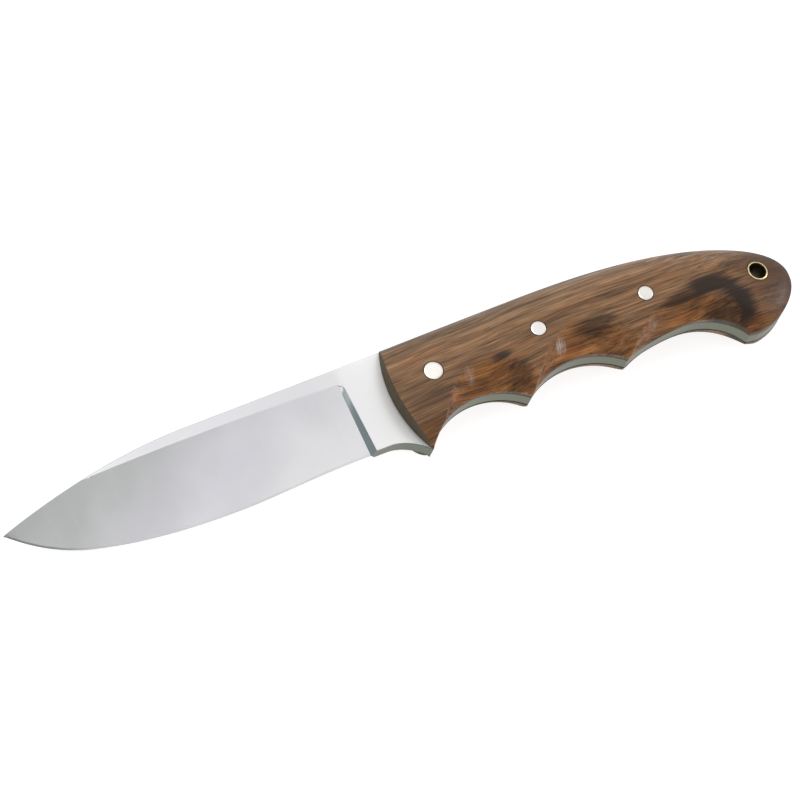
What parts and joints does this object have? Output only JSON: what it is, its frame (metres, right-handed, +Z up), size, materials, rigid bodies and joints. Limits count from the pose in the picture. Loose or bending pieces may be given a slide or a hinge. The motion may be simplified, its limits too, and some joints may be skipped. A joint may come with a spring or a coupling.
{
  "type": "fixed-blade knife",
  "caption": "Full-tang fixed-blade knife with a drop-point blade, pinned wooden scales carved with finger hollows, and a lined lanyard hole at the butt.",
  "frame": {"origin": "middle of the knife's bounding box, on the surface it lies on", "axes": "the knife lies on its side: -X to the point, +X to the butt, +Y towards the back of the blade, -Y towards the cutting edge and the finger grooves, +Z up through the thickness, out of the left side"},
  "size_m": [0.2298, 0.033, 0.0192],
  "materials": {
    "blade_steel": "satin bevels, finer satin on the flats",
    "scale_wood": "oiled and lightly buffed rosewood",
    "pin_metal": "nickel silver, sanded flush and buffed",
    "tube_brass": "sanded flush"
  },
  "bodies": {
    "root": {"blade": "blade_steel", "left_scale": "scale_wood", "right_scale": "scale_wood", "front_pin": "pin_metal", "middle_pin": "pin_metal", "rear_pin": "pin_metal", "lanyard_tube": "tube_brass"}
  },
  "joints": []
}
